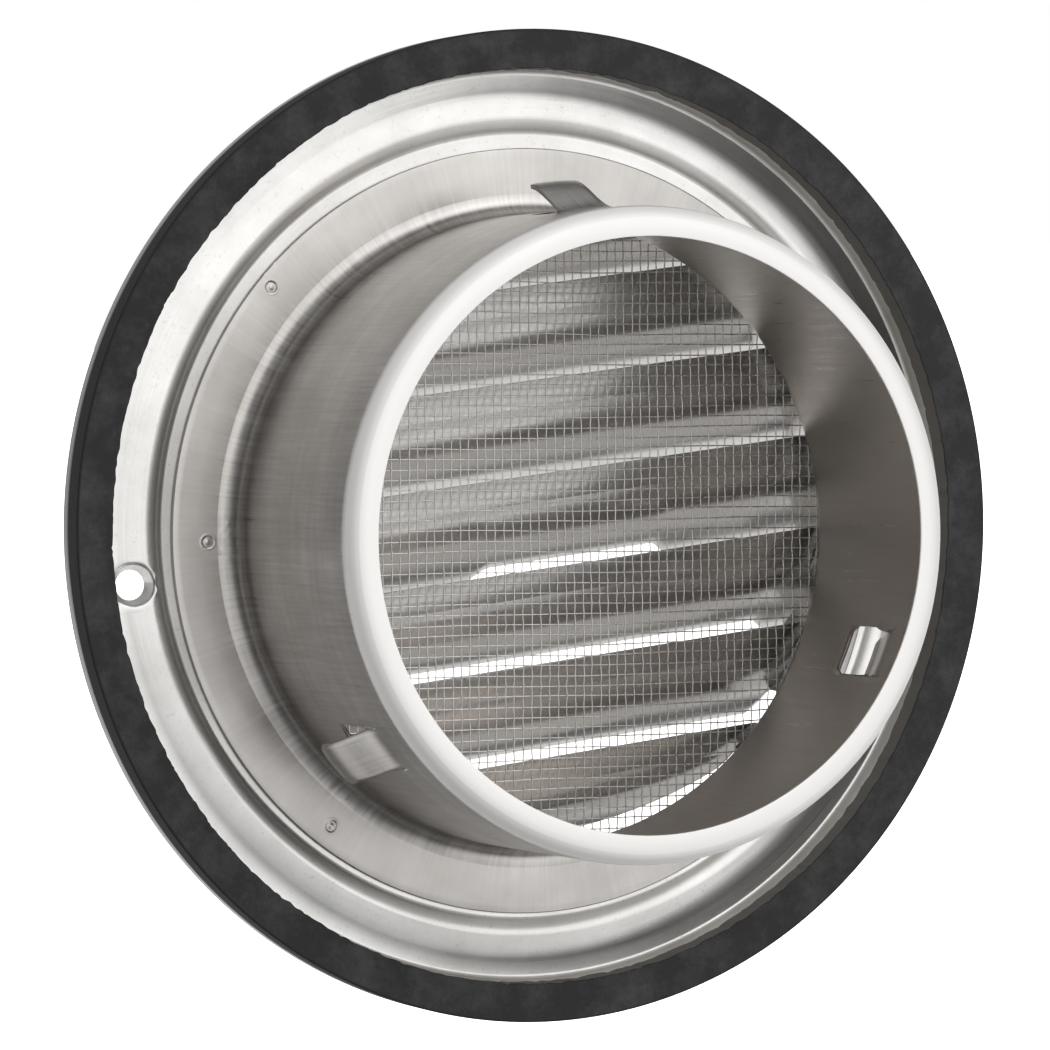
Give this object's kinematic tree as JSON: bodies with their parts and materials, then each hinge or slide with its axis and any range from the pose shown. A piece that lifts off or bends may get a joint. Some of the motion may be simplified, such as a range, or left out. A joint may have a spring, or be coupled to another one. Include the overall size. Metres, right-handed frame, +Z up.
{
  "type": "wall vent hood",
  "caption": "Round louvred wall vent hood in pressed stainless steel, with a lipped duct spigot with spring tabs, an insect screen and a black foam flange gasket.",
  "frame": {"origin": "on the flange axis, in the plane of the gasket's rear face, which is the wall plane", "axes": "+Z up, +Y into the wall along the duct, the louvred outdoor front faces -Y"},
  "size_m": [0.155, 0.0585, 0.155],
  "materials": {
    "pressed_steel": "bright stainless sheet, lightly brushed",
    "drawn_steel": "satin stainless, drawing marks along the tube",
    "screen_wire": "fine bright wire, woven",
    "black_foam": "matt cellular rubber, hand-cut inner edge"
  },
  "bodies": {
    "root": {"hood_shell": "pressed_steel", "spigot": "drawn_steel", "insect_screen": "screen_wire", "foam_gasket": "black_foam"}
  },
  "joints": []
}
